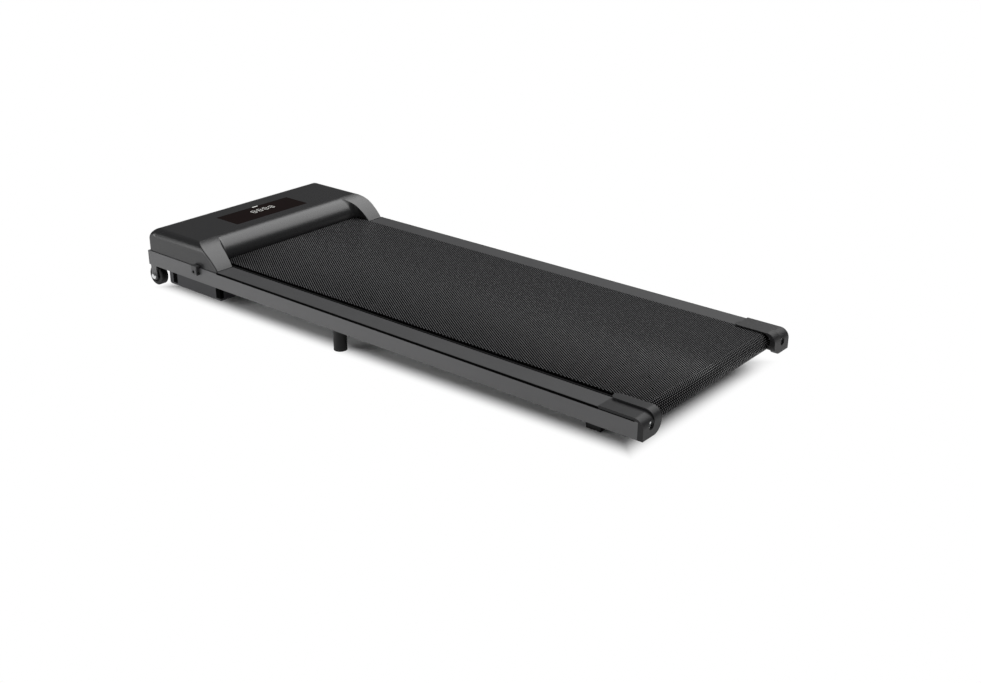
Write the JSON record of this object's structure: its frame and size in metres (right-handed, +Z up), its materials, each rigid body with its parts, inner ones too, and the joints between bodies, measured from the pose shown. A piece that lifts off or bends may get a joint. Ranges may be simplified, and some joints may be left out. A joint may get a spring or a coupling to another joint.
{
  "type": "walking pad",
  "caption": "Low under-desk walking pad with a running belt between steel rails, a moulded hood over the motor bay, rear end caps, feet and transport wheels.",
  "frame": {"origin": "centre of the footprint's bounding box, on the floor", "axes": "+Y forward to the hood, along the belt; -X the walker's left, the near side in the picture; +Z up"},
  "size_m": [0.478, 1.2085, 0.1212],
  "materials": {
    "rail_paint": "satin grey powder coat",
    "deck_board": "waxed fibreboard",
    "cushion_rubber": "plain black",
    "zinc_screw": "bright zinc",
    "belt_cover": "black with a fine raised diamond weave",
    "drive_rubber": "ribbed black",
    "roller_steel": "turned steel",
    "bearing_steel": "ground steel",
    "foot_rail_plastic": "fine grain, dark grey",
    "cap_plastic": "satin dark grey",
    "hood_plastic": "satin charcoal",
    "display_screen": "smoked, dark brown black",
    "circuit_board": "green solder mask",
    "cast_aluminium": "as cast",
    "motor_paint": "black enamel",
    "capacitor_sleeve": "dark shrink sleeve",
    "pan_plastic": "fine grain, dark grey",
    "black_plastic": "plain black",
    "wheel_rubber": "plain black",
    "foot_rubber": "plain black"
  },
  "bodies": {
    "frame": {"belly_pan": "pan_plastic", "controller_board": "circuit_board", "controller_capacitors": "capacitor_sleeve", "controller_posts": "cast_aluminium", "deck_cross_member_1": "rail_paint", "deck_cross_member_2": "rail_paint", "deck_cross_member_3": "rail_paint", "deck_cushions": "cushion_rubber", "deck_screws": "zinc_screw", "display_board": "circuit_board", "display_window": "display_screen", "drive_belt": "drive_rubber", "front_axle": "roller_steel", "front_cross_tube": "rail_paint", "front_rail_plugs": "black_plastic", "heat_sink": "cast_aluminium", "hood_clip_left": "black_plastic", "hood_clip_right": "black_plastic", "hood_clip_screws": "zinc_screw", "hood_cover": "hood_plastic", "left_axle_saddle": "rail_paint", "left_foot_rail": "foot_rail_plastic", "left_side_rail": "rail_paint", "mid_foot_left": "foot_rubber", "mid_foot_right": "foot_rubber", "motor_body": "motor_paint", "motor_cradle": "rail_paint", "motor_mount_plate": "rail_paint", "overload_reset_body": "black_plastic", "pan_bumpers": "black_plastic", "power_inlet": "black_plastic", "power_switch_housing": "black_plastic", "rear_end_cap_left": "cap_plastic", "rear_end_cap_right": "cap_plastic", "rear_foot_left": "foot_rubber", "rear_foot_plate": "rail_paint", "rear_foot_right": "foot_rubber", "right_axle_saddle": "rail_paint", "right_foot_rail": "foot_rail_plastic", "right_side_rail": "rail_paint", "running_belt": "belt_cover", "running_deck": "deck_board", "wheel_bolt_left": "zinc_screw", "wheel_bolt_right": "zinc_screw", "wheel_bracket_left": "rail_paint", "wheel_bracket_right": "rail_paint"},
    "front_roller": {"front_roller": "roller_steel", "front_roller_pulley": "cast_aluminium", "front_roller_bearings": "bearing_steel"},
    "rear_axle": {"rear_axle": "roller_steel"},
    "rear_roller": {"rear_roller": "roller_steel", "rear_roller_bearings": "bearing_steel"},
    "left_tension_bolt": {"left_tension_bolt": "zinc_screw"},
    "right_tension_bolt": {"right_tension_bolt": "zinc_screw"},
    "motor_rotor": {"motor_shaft": "roller_steel", "motor_pulley": "cast_aluminium"},
    "transport_wheel_left": {"transport_wheel_left": "wheel_rubber"},
    "transport_wheel_right": {"transport_wheel_right": "wheel_rubber"},
    "power_switch_rocker": {"power_switch_rocker": "black_plastic"},
    "overload_reset_button": {"overload_reset_button": "black_plastic"}
  },
  "joints": [
    {"name": "front_roller_spin", "type": "hinge", "parent": "frame", "child": "front_roller", "pos_m": [0, 0.42775, 0.0622], "axis": [1, 0, 0], "continuous": true},
    {"name": "rear_axle_take_up", "type": "slide", "parent": "frame", "child": "rear_axle", "axis": [0, 1, 0], "range_m": [0, 0.008]},
    {"name": "rear_roller_spin", "type": "hinge", "parent": "rear_axle", "child": "rear_roller", "pos_m": [0, -0.57425, 0.0622], "axis": [1, 0, 0], "continuous": true},
    {"name": "left_tension_bolt_turn", "type": "hinge", "parent": "frame", "child": "left_tension_bolt", "pos_m": [-0.207, -0.57425, 0.0622], "axis": [0, -1, 0], "range_deg": [0, 2305]},
    {"name": "right_tension_bolt_turn", "type": "hinge", "parent": "frame", "child": "right_tension_bolt", "pos_m": [0.207, -0.57425, 0.0622], "axis": [0, -1, 0], "range_deg": [0, 2305]},
    {"name": "motor_spin", "type": "hinge", "parent": "frame", "child": "motor_rotor", "pos_m": [0, 0.50375, 0.0622], "axis": [1, 0, 0], "continuous": true},
    {"name": "left_wheel_spin", "type": "hinge", "parent": "frame", "child": "transport_wheel_left", "pos_m": [-0.218, 0.58375, 0.0205], "axis": [1, 0, 0], "continuous": true},
    {"name": "right_wheel_spin", "type": "hinge", "parent": "frame", "child": "transport_wheel_right", "pos_m": [0.218, 0.58375, 0.0205], "axis": [1, 0, 0], "continuous": true},
    {"name": "power_rocker_tip", "type": "hinge", "parent": "frame", "child": "power_switch_rocker", "pos_m": [0.08, 0.59275, 0.069], "axis": [1, 0, 0], "range_deg": [0, 20]},
    {"name": "overload_reset_press", "type": "slide", "parent": "frame", "child": "overload_reset_button", "axis": [0, -1, 0], "range_m": [0, 0.0025], "stiffness_N_per_m": 800}
  ],
  "couplings": [
    {"joint": "rear_roller_spin", "follows": "front_roller_spin", "ratio": 1},
    {"joint": "motor_spin", "follows": "front_roller_spin", "ratio": 2.2},
    {"joint": "left_tension_bolt_turn", "follows": "rear_axle_take_up", "rad_per_m": 5026.5},
    {"joint": "right_tension_bolt_turn", "follows": "rear_axle_take_up", "rad_per_m": 5026.5}
  ]
}
